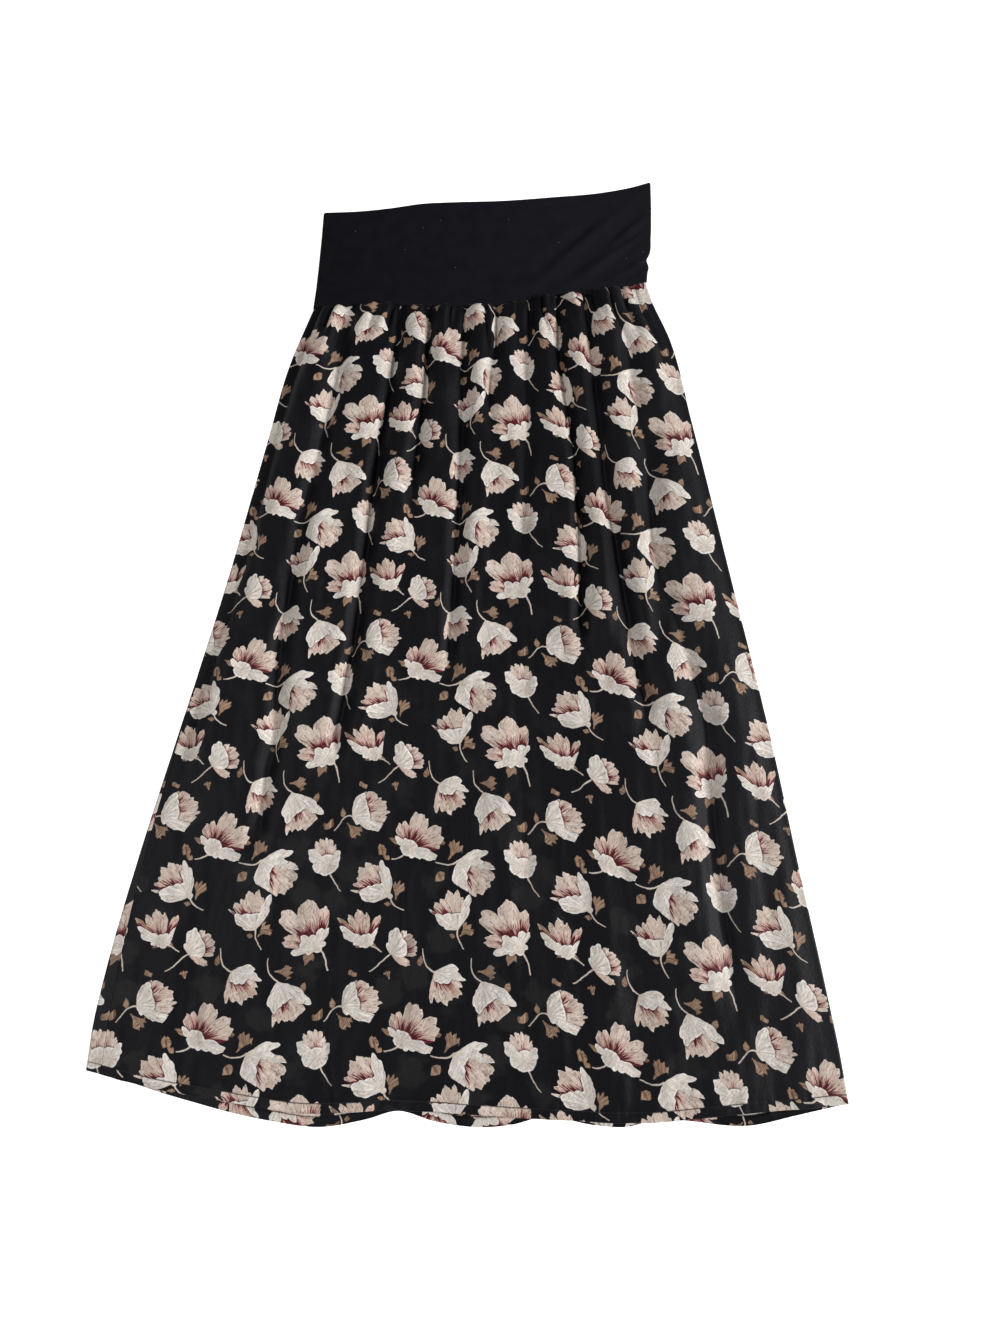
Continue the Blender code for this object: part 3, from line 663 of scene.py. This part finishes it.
BACK_GATHERS = 9
BACK_GATHER_LIFT = 1.6
BACK_GATHER_RUN = 0.10
RIDGE_LIFT = table(
    "fall  lift",
    (0.00, 4.2), (0.03, 7.8), (0.10, 9.2), (0.25, 8.9), (0.50, 7.6), (0.80, 5.0), (1.00, 4.2),
)

# The front's long folds, each a trough with a shoulder on each side: its depth, half width and
# lean, how far its right shoulder is drawn over it, and the (x, y) points of its line, upwards.
# Each fades over FOLD_FADE mm at an end that isn't in the waist seam, FOLD_PAST of them beyond it.
FOLD_FADE = 60
FOLD_PAST = 35
WAIST_Y = 350
FRONT_FOLDS = (
    (10.5, 9.0, 0.60, ((-136, -150), (-128, -100), (-119, -30), (-110, 54), (-99, 171), (-88, 247),
                      (-80, 319), (-77, 350))),
    (8.0, 7.0, 0.40, ((-62, 130), (-54, 209), (-50, 247), (-49, 288), (-46, 350))),
    (7.0, 8.0, 0.30, ((-20, -66), (-15, 26), (-10, 122), (-7, 242), (-5, 350))),
    (6.0, 6.5, 0.40, ((22, 220), (28, 293), (32, 350))),
    (11.0, 8.5, 0.65, ((122, -30), (124, 54), (122, 122), (116, 207), (106, 268), (102, 350))),
    (8.6, 9.5, 0.35, ((186, -110), (174, -30), (160, 74), (148, 147), (143, 221), (140, 277),
                      (134, 350))),
    (5.0, 10.0, 0.20, ((204, -60), (196, 74), (190, 207), (178, 300))),
    (6.6, 11.0, 0.30, ((268, -404), (258, -316), (251, -225), (248, -115), (229, -43), (208, 54),
                       (206, 203))),
    (6.6, 9.0, 0.50, ((-300, -170), (-278, -88), (-250, 26), (-228, 132), (-200, 273),
                      (-176, 350))),
    (7.0, 10.0, 0.30, ((-213, -245), (-208, -182), (-202, -148), (-201, -66), (-192, 17),
                       (-172, 150), (-150, 260), (-140, 350))),
    (1.6, 5.0, 0.30, ((-59, -414), (-58, -347), (-59, -288))),
    (1.6, 4.0, 0.40, ((-131, -501), (-137, -447), (-128, -400))),
    (2.2, 13.0, 0.0, ((70, -470), (62, -330), (58, -180), (56, -60))),
    (2.0, 12.0, 0.0, ((170, -480), (166, -380), (150, -240))),
    (2.0, 12.0, 0.0, ((-280, -450), (-262, -340), (-250, -260))),
    (5.0, 9.0, 0.20, ((58, 60), (64, 180), (66, 300), (70, 350))),
)

# Swells of laid cloth, and crumple of crepe, each wave (length across, length down, phase).
SWELLS = ((92, 900, 0.4), (61, -700, 1.9), (143, 420, 3.1), (48, 1300, 5.0))
CRUMPLE = ((23, 91, 0.3), (-17, 69, 2.2), (31, -57, 4.1), (14, 190, 5.2), (41, 73, 1.1))
SWELL_HEIGHT = 2.0
CRUMPLE_HEIGHT = 0.8
LEAST_ROUGH = 0.15
SMALL_GATHER_HEIGHT = 2.6
SMALL_GATHER_RUN = 0.055

# The waist seam presses the gathers down. Along the hem's stitches the cloth puckers and has a
# groove, and its last stretch lies lower.
SEAM_PRESS = 0.45
SEAM_PRESS_RUN = 0.006
PUCKER_STEP = 8.3
PUCKER_HEIGHT = 0.35
BACK_PUCKER_HEIGHT = 0.25
PUCKER_REACH = 7.0
GROOVE_DEPTH = 0.5
GROOVE_REACH = 2.0
HEM_SINK = 0.9
HEM_SINK_RUN = 16.0


def half_way_round(left, right, roll):
    """The length of a flattened tube's section from one side fold to the other."""
    return right - left - 2 * roll + np.pi * roll


def place(q, left, right, roll):
    """Points of a flattened tube's section, by their way round it in q.

    q is 0 at the middle of the left fold and grows clockwise: up the fold, along the top,
    down the right fold, and back along the floor. Returns x and the height over the floor side.
    """
    half = half_way_round(left, right, roll)
    quarter = np.pi * roll / 2
    q = np.mod(q, 2 * half)
    stretches = [q < quarter, q < half - quarter, q < half + quarter, q < 2 * half - quarter]
    x = np.select(
        stretches,
        [left + roll - roll * np.cos(q / roll), left + roll + (q - quarter),
         right - roll + roll * np.cos((q - half) / roll), right - roll - (q - half - quarter)],
        left + roll - roll * np.cos((q - 2 * half) / roll))
    height = np.select(
        stretches,
        [roll + roll * np.sin(q / roll), 2 * roll + 0 * q,
         roll - roll * np.sin((q - half) / roll), 0 * q],
        roll + roll * np.sin((q - 2 * half) / roll))
    return x, height


def skirt_sides(fall):
    """The middle surface's left and right folds, half its round, and the left seam's turn."""
    left = smooth(fall, SIDES["fall"], SIDES["left"]) + CHIFFON_WALL / 2
    right = smooth(fall, SIDES["fall"], SIDES["right"]) - CHIFFON_WALL / 2
    wrap = smooth(fall, SIDES["fall"], SIDES["wrap"])
    return left, right, half_way_round(left, right, SIDE_ROLL), wrap


def gathers(gather, fall):
    """The part of the lift that is left on the front, and how far its cloth leans, in gathers.

    A trough is a bell across the gathers that widens and dies away as it runs down. The cloth
    leans over it by GATHER_LEAN * sin(2 pi t) at t gathers from its line, down to 0.8 of its
    run, so the trough is a tight crease and the ridge beside it stays round.
    """
    width = TROUGH_WIDTH_WAIST + (TROUGH_WIDTH_HEM - TROUGH_WIDTH_WAIST) * np.sqrt(fall)
    left_after, lean = 1.0, 0.0
    for number, (bite, run) in enumerate(zip(GATHERS["bite"], GATHERS["run"]), start=1):
        off = gather - number
        left_after = left_after * (1 - bite * fade(fall / run) * bell(off / width))
        turn = np.sin(2 * np.pi * np.clip(off, -0.5, 0.5))
        lean = lean - GATHER_LEAN * bite * fade(fall / (0.8 * run)) * turn
    return left_after, lean


def long_folds(x, y):
    """The rise and sideways pull of the front's long folds at points (x, y).

    Over off = (x - line) / width, a fold rises by depth * (0.55 * bell((off - 2.3) / 1.5)
    + 0.30 * bell((off + 2.3) / 1.5) - bell(off)), and its right shoulder is pulled to the left.
    """
    rise = pull = 0.0
    for depth, width, lean, points in FRONT_FOLDS:
        xs, ys = np.array(points, float).T
        strength = 1 - fade((y - ys[0] + FOLD_PAST) / FOLD_FADE)
        if ys[-1] < WAIST_Y:
            strength = strength * fade((y - ys[-1] + FOLD_FADE - FOLD_PAST) / FOLD_FADE)
        off = (x - smooth(y, ys, xs)) / width
        shoulders = 0.55 * bell((off - 2.3) / 1.5) + 0.30 * bell((off + 2.3) / 1.5)
        rise = rise + depth * strength * (shoulders - bell(off))
        pull = pull - lean * 0.9 * width * strength * bell((off - 0.9) / 0.9)
    return rise, pull


def ripple(x, y, waves):
    """The mean of sine waves over x and y, each (length across, length down, phase)."""
    return sum(np.sin(2 * np.pi * (x / across + y / down) + phase)
               for across, down, phase in waves) / len(waves)


def outward(x, z):
    """The direction out of a section that runs clockwise through points (x, z), row by row."""
    out_x, out_z = -np.gradient(z, axis=1), np.gradient(x, axis=1)
    size = np.maximum(np.hypot(out_x, out_z), 1e-6)
    return out_x / size, out_z / size


def skirt_rows():
    """The rows down a panel: fall, drop below the edge and way inwards in mm, and travel.

    Rows are close at the gathers and the hem. The hem's cloth turns round its edge on a small
    radius and lies HEM_DEPTH up the inside; travel is the cloth's distance below the edge.
    """
    down = np.concatenate([np.arange(*stretch) for stretch in ROW_STEPS])
    up = np.append(np.arange(HEM_ROWS, HEM_TURN, -HEM_ROW_STEP), HEM_TURN)
    bend = np.radians([45, 90, 135, 180])
    inside = np.array([3.0, 6.0, HEM_DEPTH])
    edge = 1 - HEM_TURN / PANEL_LENGTH
    fall = np.concatenate([down / PANEL_LENGTH, 1 - up / PANEL_LENGTH, edge + 0 * bend,
                           1 - inside / PANEL_LENGTH])
    plain, flat = np.zeros(down.size + up.size), np.zeros(inside.size)
    drop = np.concatenate([plain, HEM_TURN * np.sin(bend), flat])
    inward = np.concatenate([plain, HEM_TURN * (1 - np.cos(bend)), flat + 2 * HEM_TURN])
    travel = np.concatenate([plain, HEM_TURN * bend, HEM_TURN * np.pi + inside])
    return fall, drop, inward, travel


def skirt_surface(q, gather, hem, rows):
    """The outer face of one panel, as a grid of points in mm, and their y but for the hem's turn.

    Height is the flattened tube's, sunk on top until the front rests on the back, plus the
    ridges' lift less its troughs, the small gathers at the seam, swells, crumple and long folds,
    held off the rolled side folds by a bell-shaped window. Puckers and small gathers are sine
    waves whose step and height vary along them. Puckers die away from the stitch line.
    """
    fall, drop, inward, _ = rows
    fall = fall[:, None]
    left, right, half, _ = skirt_sides(fall)
    x, height = place(q, left, right, SIDE_ROLL)
    across = (x - left) / (right - left)
    from_side = np.maximum(np.minimum(x - left, right - x) - SIDE_ROLL, 0)
    inside = 1 - bell(from_side / ROLL_REACH)
    top = smooth(across, WAIST_SEAM["across"], WAIST_SEAM["y"]) - SEAM_GAP
    y = top + (smooth(across, hem["across"], hem["y"]) - top) * fall
    up = (1 - fall) * PANEL_LENGTH

    rough = SWELL_HEIGHT * ripple(x, y, SWELLS) + CRUMPLE_HEIGHT * ripple(x, y, CRUMPLE)
    pucker = np.sin(2 * np.pi * x / PUCKER_STEP + 2 * np.sin(x / 27))
    pucker = pucker * (0.7 + 0.3 * np.sin(x / 41))
    near_stitches = bell((up - HEM_DEPTH) / PUCKER_REACH)
    groove = bell((up - HEM_DEPTH) / GROOVE_REACH)
    small = np.sin(2 * np.pi * (1.5 * gather + 0.35 * np.sin(1.9 * gather)) + 12 * fall)
    small = small * (0.7 + 0.4 * np.sin(1.3 * gather)) * fade(fall / SMALL_GATHER_RUN)
    left_after, lean = gathers(gather, fall)
    lift = smooth(fall, RIDGE_LIFT["fall"], RIDGE_LIFT["lift"]) * left_after
    lift = lift * (1 - SEAM_PRESS * fade(fall / SEAM_PRESS_RUN))
    rise, pull = long_folds(x, y)
    front = np.maximum(lift + SMALL_GATHER_HEIGHT * small + rough + rise, LEAST_ROUGH * rough)
    front = front + PUCKER_HEIGHT * pucker * near_stitches - GROOVE_DEPTH * groove
    sink = 2 * SIDE_ROLL - CHIFFON_WALL - LAYER_GAP - HEM_SINK * fade(up / HEM_SINK_RUN)
    wave = np.sin(np.pi * BACK_GATHERS * across) ** 2
    floor = BACK_GATHER_LIFT * wave * fade(fall / BACK_GATHER_RUN)
    floor = floor + BACK_PUCKER_HEIGHT * (1 + pucker) * near_stitches
    on_top = np.mod(q, 2 * half) < half
    pull = pull * inside + lean * (right - left) / GATHER_COUNT
    x = x + np.where(on_top, pull, 0)
    z = CHIFFON_WALL / 2 + height + np.where(on_top, front - sink, floor) * inside

    out_x, out_z = outward(x, z)
    move = CHIFFON_WALL / 2 - inward[:, None]
    return np.stack([x + out_x * move, y - drop[:, None], z + out_z * move], -1), y


def at_corners(values, tuck=None, first_row=0):
    """Values of a grid at each face's four corners.

    From first_row down, the second value is less by the tuck of its column.
    """
    corners = np.stack(
        [values[:-1, :-1], values[1:, :-1], values[1:, 1:], values[:-1, 1:]], axis=2)
    if tuck is not None:
        corners[first_row:, :, :, 1] -= np.stack([tuck[:-1], tuck[:-1], tuck[1:], tuck[1:]], -1)
    return corners


def cloth_mesh(name, points, material, maps):
    """A sheet of cloth from a grid of points in mm, with its UV maps, and a thin wall inwards."""
    index = np.arange(points.size // 3).reshape(points.shape[:2])
    piece = new_piece(name, points, at_corners(index).reshape(-1, 4).tolist(), material, maps)
    wall = piece.modifiers.new("wall", "SOLIDIFY")
    wall.thickness, wall.offset, wall.use_even_offset = THIN_WALL * MM, -1.0, False
    return piece


rows = skirt_rows()
fall_down, travel = rows[0][:, None], rows[3][:, None]
past = rows[3] > 0
stitch_line = int(np.argmin(np.abs((1 - rows[0]) * PANEL_LENGTH - HEM_DEPTH)[:EDGE_ROW]))
_, _, half_round, seam_turn = skirt_sides(fall_down)
quarter_roll = np.pi * SIDE_ROLL / 2

# The front runs from the left seam, over the top, to the right fold. Its columns follow the
# gathers down.
gather_steps = np.linspace(0, GATHER_COUNT, GATHER_COUNT * COLUMNS_PER_GATHER + 1)
waist_lines, hem_lines = (
    np.interp(gather_steps, np.arange(GATHER_COUNT + 1), [0, *GATHERS[edge], 1])
    for edge in ("waist", "hem"))
lines = (1 - fall_down) * waist_lines + fall_down * hem_lines
side_steps = np.linspace(0, quarter_roll, SIDE_COLUMNS + 1)[:-1]
start, end = seam_turn + SEAM_GAP / 2, half_round - SEAM_GAP / 2
front_q = np.hstack([
    start + side_steps, start + quarter_roll + (end - start - 2 * quarter_roll) * lines,
    end - side_steps[::-1]])
front_gather = np.concatenate([0 * side_steps, gather_steps, GATHER_COUNT + 0 * side_steps])[None]
front_points, front_y = skirt_surface(front_q, front_gather, FRONT_HEM, rows)

# How the cloth's own width lies across the front: the x of three of its lengthwise lines, one
# print repeat apart, by height; and how far the print has slipped down at the right one. Its own
# length is given by height, too. The hem's tuck takes up some of the print, TUCK mm at TUCK_X.
EDGE_DROP = 0.8
TUCK_X, TUCK = (-180, 200), (8.0, 3.0)
CLOTH_LINES = table(
    "y      left    middle  right  slip",
    (-520, -165.0, 38.0, 241.0, 35.0),
    (-338, -163.3, 38.0, 241.5, 33.8),
    (-150, -155.4, 38.2, 244.0, 30.0),
    (30, -132.0, 40.6, 236.0, 25.0),
    (212, -118.8, 44.2, 223.5, 18.2),
    (360, -98.0, 46.0, 192.0, 12.0),
    (400, -93.0, 46.5, 184.0, 9.0),
)
CLOTH_HEIGHTS = table(
    "y       v",
    (-520.6, -732.0), (-337.6, -549.0), (-150.1, -366.0), (30.2, -183.0), (212.1, 0.0),
    (395.0, 183.0),
)
section = front_points[..., [0, 2]]
step = np.linalg.norm(np.diff(section, axis=1, prepend=section[:, :1]), axis=-1)
front_u, front_v = np.zeros_like(front_q), np.zeros_like(front_q)
for row in range(front_q.shape[0]):
    x, y = front_points[row, :, 0], front_y[row]
    along = np.cumsum(step[row])
    marks = []
    for line in ("left", "middle", "right"):
        at = np.interp(y.mean(), CLOTH_LINES["y"], CLOTH_LINES[line])
        at = np.interp(np.interp(at, x, y), CLOTH_LINES["y"], CLOTH_LINES[line])
        marks.append(np.interp(at, x, along))
    u = np.interp(along, marks, [-PRINT_WIDE, 0, PRINT_WIDE])
    u += np.minimum(along - marks[0], 0) * PRINT_WIDE / (marks[1] - marks[0])
    u += np.maximum(along - marks[2], 0) * PRINT_WIDE / (marks[2] - marks[1])
    slip = np.interp(y, CLOTH_LINES["y"], CLOTH_LINES["slip"]) * np.maximum(u / PRINT_WIDE, 0)
    front_u[row] = u
    front_v[row] = np.interp(y + slip, CLOTH_HEIGHTS["y"], CLOTH_HEIGHTS["v"])

# Past the hem's edge the print runs on round it by the cloth's travel.
edge_y = front_y[EDGE_ROW] + slip - EDGE_DROP
front_v[past] = np.interp(edge_y, CLOTH_HEIGHTS["y"], CLOTH_HEIGHTS["v"]) - travel[past]
front_tuck = np.interp(front_points[0, :, 0], TUCK_X, TUCK)
edge_up = np.where(travel > 0, -travel, (1 - fall_down) * PANEL_LENGTH)
chiffon_front = cloth_mesh("chiffon_front", front_points, chiffon, {
    "cloth": at_corners(np.stack([front_u, front_v], -1), front_tuck, stitch_line),
    "edge": at_corners(np.stack([front_u, edge_up + 0 * front_u], -1))})
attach(chiffon_front, "root")
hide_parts("skirt_front")

# The back runs from the right fold, over the floor, up the left fold and onto the front. Its
# cloth is BACK_CLOTH mm wide at the waist and BACK_FLARE mm wider at the hem.
BACK_CLOTH, BACK_FLARE, BACK_SHIFT = 570, 200, 30
start, end = half_round + SEAM_GAP / 2, 2 * half_round + seam_turn - SEAM_GAP / 2
part = np.linspace(0, 1, SIDE_COLUMNS + 1)[:-1]
floor_part = np.linspace(0, 1, BACK_COLUMNS)
left_part = np.linspace(0, 1, LEFT_COLUMNS)[1:]
back_q = np.hstack([
    start + part * quarter_roll,
    half_round + quarter_roll + (half_round - 2 * quarter_roll) * floor_part,
    2 * half_round - quarter_roll + (end - 2 * half_round + quarter_roll) * left_part])
back_points, back_y = skirt_surface(back_q, np.zeros((1, back_q.shape[1])), BACK_HEM, rows)
cloth_width = BACK_CLOTH + BACK_FLARE * fall_down
back_u = (back_q - 1.5 * half_round) * cloth_width / half_round + BACK_SHIFT
back_v = np.interp(back_y, CLOTH_HEIGHTS["y"], CLOTH_HEIGHTS["v"])
back_v[past] = back_v[EDGE_ROW] - EDGE_DROP - travel[past]
chiffon_back = cloth_mesh("chiffon_back", back_points, chiffon, {
    "cloth": at_corners(np.stack([back_u, back_v], -1)),
    "edge": at_corners(np.stack([back_u, edge_up + 0 * back_u], -1))})
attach(chiffon_back, "root")
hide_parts("skirt_back")


# --- The waistband ---------------------------------------------------------------------------
# Black cotton jersey, cut twice as tall as it shows and doubled, so that its top edge is a soft
# fold. The two halves are sewn at the sides, and slant up to the right as they lie. A few soft
# slanting creases cross its right end, where it has been pulled.
JERSEY_WALL = 2.2
BAND_ROLL = (JERSEY_WALL + SEAM_GAP) / 2
BAND_COLUMNS = 150
BAND_SIDE_COLUMNS = 4
BAND_ROWS = 46
BAND_SWELL = 0.35
BAND_TOP = table(
    "across  y",
    (0.00, 481.0), (0.12, 483.3), (0.20, 487.0), (0.30, 493.2), (0.40, 495.3), (0.54, 497.0),
    (0.70, 502.0), (0.86, 508.5), (0.96, 517.0), (1.00, 522.2),
)
BAND_SIDES = table(
    "fall   left    right",
    (0.00, -175.0, 212.0), (0.30, -176.5, 211.5), (0.55, -178.2, 210.0), (0.72, -179.5, 207.6),
    (0.78, -180.0, 204.0), (0.84, -180.7, 206.2), (0.91, -181.6, 204.6), (1.00, -182.5, 203.4),
)
TOP_ROUND = 1.6
SEAM_ROUND = 1.2
CREASE_FLOOR = 1.1
CREASE_END = 8.0

# Creases: where the middle is, the direction, half length, half width and height.
BAND_CREASES = (
    (128, 438, 43, 58, 9.0, 3.6),
    (147, 430, 41, 48, 6.0, -2.8),
    (160, 420, 36, 46, 8.0, 3.6),
    (184, 456, 38, 30, 7.0, 3.0),
    (188, 436, 36, 26, 5.5, -2.2),
    (194, 411, 28, 22, 6.0, 3.3),
    (100, 446, 38, 36, 10.0, 1.4),
    (88, 396, 20, 40, 9.0, 1.0),
    (-90, 420, 8, 60, 7.0, 0.35),
    (10, 455, -6, 70, 8.0, 0.35),
    (-150, 440, 75, 34, 4.0, 0.3),
    (-20, 378, 4, 90, 4.0, 0.4),
)


def band_creases(x, y):
    """The creases' height: each a ridge with a shallow dip on each side.

    At off half widths from its line and along half lengths from its middle, a crease's height is
    lift * (1 - 1.4 * off ** 2) * bell(off) * bell(along). The sum sinks no more than
    CREASE_FLOOR, by the soft limit log(1 + exp(3 * height)) / 3.
    """
    height = 0.0
    for middle_x, middle_y, direction, length, width, lift in BAND_CREASES:
        cos, sin = np.cos(np.radians(direction)), np.sin(np.radians(direction))
        along = ((x - middle_x) * cos + (y - middle_y) * sin) / length
        off = ((y - middle_y) * cos - (x - middle_x) * sin) / width
        height = height + lift * (1 - 1.4 * off ** 2) * bell(off) * bell(along)
    return np.logaddexp(3 * (height + CREASE_FLOOR), 0) / 3 - CREASE_FLOOR


def band_half(name, node, front):
    """One half of the band as a closed slab, from the seam up, over its folded top and down.

    The section is a thin loop whose outer face bulges by the creases and whose ends are round:
    height over the middle line is half the wall times the square root of 1 - 0.98 * t ** 2,
    where t runs from 0 to 1 over the last TOP_ROUND or SEAM_ROUND mm.
    """
    rise = np.sin(np.linspace(-np.pi / 2, np.pi / 2, BAND_ROWS)) * 0.5 + 0.5
    rise = 0.5 * rise + 0.5 * np.linspace(0, 1, BAND_ROWS)
    fall = (1 - rise)[:, None]
    left = smooth(fall, BAND_SIDES["fall"], BAND_SIDES["left"]) + JERSEY_WALL / 2
    right = smooth(fall, BAND_SIDES["fall"], BAND_SIDES["right"]) - JERSEY_WALL / 2
    half = half_way_round(left, right, BAND_ROLL)
    quarter = np.pi * BAND_ROLL / 2
    begin = SEAM_GAP / 2 + (0 if front else half)
    edge = np.linspace(0, quarter, BAND_SIDE_COLUMNS + 1)[:-1]
    flat = np.linspace(0, 1, BAND_COLUMNS)
    q = np.hstack([begin + edge + 0 * half,
                   begin + quarter + (half - SEAM_GAP - 2 * quarter) * flat,
                   begin + half - SEAM_GAP - edge[::-1]])
    x, height = place(q, left, right, BAND_ROLL)
    across = (x - left) / (right - left)
    low = smooth(across, WAIST_SEAM["across"], WAIST_SEAM["y"])
    high = smooth(across, BAND_TOP["across"], BAND_TOP["y"])
    y = low + (high - low) * rise[:, None]
    out_x, out_z = outward(x, height)
    near_top = np.clip(1 - (high - y) / TOP_ROUND, 0, 1)
    near_seam = np.clip(1 - (y - low) / SEAM_ROUND, 0, 1)
    wall = JERSEY_WALL / 2 * np.sqrt(1 - 0.98 * np.maximum(near_top, near_seam) ** 2)
    bulge = 0.0
    if front:
        inside = 1 - bell(np.minimum(x - left, right - x) / CREASE_END)
        bulge = band_creases(x, y) + BAND_SWELL * ripple(x, y, SWELLS)
        bulge = bulge * inside * (1 - near_top)
    z = JERSEY_WALL / 2 + height
    outer = np.stack([x + out_x * (wall + bulge), y, z + out_z * (wall + bulge)], -1)
    inner = np.stack([x - out_x * wall, y, z - out_z * wall], -1)
    loop = np.concatenate([outer, inner[::-1]])
    count, columns = loop.shape[:2]
    index = np.arange(count * columns).reshape(count, columns)
    below = np.roll(index, -1, axis=0)
    faces = np.stack([index[:, :-1], index[:, 1:], below[:, 1:], below[:, :-1]], -1)
    up = np.arange(BAND_ROWS - 1)
    ends = index[np.array([up, up + 1, count - 2 - up, count - 1 - up])]
    faces = np.concatenate([faces.reshape(-1, 4), ends[:, :, 0].T, ends[::-1, :, -1].T])
    cloth = np.stack([np.broadcast_to(q, y.shape) * (1 if front else -1), y], -1)
    cloth = np.concatenate([cloth, cloth[::-1]]).reshape(-1, 2)
    piece = new_piece(name, loop, faces.tolist(), jersey, {"cloth": cloth[faces.ravel()]})
    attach(piece, "root")
    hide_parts(node)


# Black jersey shows as a very dark, slightly cool grey with no shine, mottled, and with painted
# light that makes it a little paler to the right, with a few specks of lint. Its upright ribs of
# knit stitches are drawn about 1 mm wide, coarser than real ones, so that they show.
jersey, tree, shader = finish_material(
    "black_cotton_jersey", Roughness=0.9, Specular_IOR_Level=0.08, Sheen_Weight=0.025,
    Sheen_Roughness=0.45)
knit_place = add(tree, "UVMap", uv_map="cloth")
wales = add(tree, "TexWave", {
    "Vector": knit_place, "Scale": 320.0, "Distortion": 1.0, "Detail": 1.0, "Detail Scale": 2.0},
    1, bands_direction="X")
mottle = add(tree, "TexNoise", {"Vector": knit_place, "Scale": 60.0, "Detail": 3.0})
across = add(tree, "SeparateXYZ", [add(tree, "TexCoord", out="Object")])
# Painted light: the band is paled towards its right end, as if lit from the right. The mottle is
# the jersey's own uneven tone.
mottle_and_painted_light = add(tree, "MapRange", [across, -0.18, 0.21, -0.35, 0.5])
mottle_and_painted_light = add(tree, "Math", [mottle, mottle_and_painted_light], operation="ADD", use_clamp=True)
colour = add(tree, "Mix", {0: mottle_and_painted_light, 6: "#0a080d", 7: "#16151b"}, 2, data_type="RGBA")
lint, chance = add(tree, "TexVoronoi", {"Vector": knit_place, "Scale": 50.0}, slice(2),
                   voronoi_dimensions="2D")
chance = add(tree, "SeparateXYZ", [chance])
chance = add(tree, "Math", [chance, 0.93], operation="GREATER_THAN")
lint = add(tree, "MapRange", [lint, 0.014, 0.03, 0.45, 0.0])
lint = add(tree, "Math", [lint, chance], operation="MULTIPLY")
colour = add(tree, "Mix", {0: lint, 6: colour, 7: "#8f8c92"}, 2, data_type="RGBA")
bump = add(tree, "Bump", {"Height": wales, "Strength": 0.3, "Distance": 0.0002})
tree.links.new(colour, shader.inputs["Base Color"])
tree.links.new(bump, shader.inputs["Normal"])
band_half("jersey_band_front", "waistband_front", True)
band_half("jersey_band_back", "waistband_back", False)


# --- The hem stitches ------------------------------------------------------------------------
# A single row of black lockstitch, nine millimetres above each hem's edge. The stitches are
# sunk a little in the soft cloth.
STITCH_STEP = 3.0
STITCH_LONG = 2.3
STITCH_WIDE = 0.42
STITCH_RISE = 0.1
STITCH_SIDES = 6
STITCH_RINGS = 6


def stitch_row(name, line):
    """A row of stitches along a line of points in mm: each is a six-sided grain.

    Its half width at s along it, from -1 to 1, is STITCH_WIDE / 2 * (1 - 0.85 * s ** 4).
    """
    length = np.concatenate([[0], np.cumsum(np.linalg.norm(np.diff(line, axis=0), axis=1))])
    middle = np.arange(STITCH_STEP, length[-1] - STITCH_STEP, STITCH_STEP)
    s = np.linspace(-1, 1, STITCH_RINGS)
    turn = np.arange(STITCH_SIDES) * 2 * np.pi / STITCH_SIDES
    at = middle[:, None] + s * STITCH_LONG / 2
    centre = np.stack([np.interp(at, length, line[:, i]) for i in range(3)], -1)
    along = np.gradient(centre, axis=1)
    along /= np.linalg.norm(along, axis=-1, keepdims=True)
    side = np.cross(along, (0, 0, 1))
    side /= np.linalg.norm(side, axis=-1, keepdims=True)
    over = np.cross(side, along)
    thick = (STITCH_WIDE / 2 * (1 - 0.85 * s ** 4))[None, :, None, None]
    ring = (np.cos(turn)[:, None] * side[:, :, None] + np.sin(turn)[:, None] * over[:, :, None])
    points = centre[:, :, None] + thick * ring + STITCH_RISE * over[:, :, None]
    index = np.arange(points.size // 3).reshape(points.shape[:3])
    beside = np.roll(index, -1, axis=2)
    walls = np.stack([index[:, :-1], beside[:, :-1], beside[:, 1:], index[:, 1:]], -1)
    ends = np.concatenate([index[:, 0, ::-1], index[:, -1]])
    piece = new_piece(name, points, walls.reshape(-1, 4).tolist() + ends.tolist(), thread)
    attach(piece, "root")


thread, tree, shader = finish_material("black_thread", Roughness=0.7)
twist = add(tree, "TexNoise", {"Vector": add(tree, "TexCoord", out="Object"), "Scale": 2500.0})
colour = add(tree, "Mix", {0: twist, 6: "#0e0e10", 7: "#242326"}, 2, data_type="RGBA")
tree.links.new(colour, shader.inputs["Base Color"])
inner_line = back_points[stitch_line, SIDE_COLUMNS:SIDE_COLUMNS + BACK_COLUMNS]
stitch_row("front_hem_stitches", front_points[stitch_line])
stitch_row("back_hem_stitches", inner_line + (0, 0, 2 * HEM_TURN))
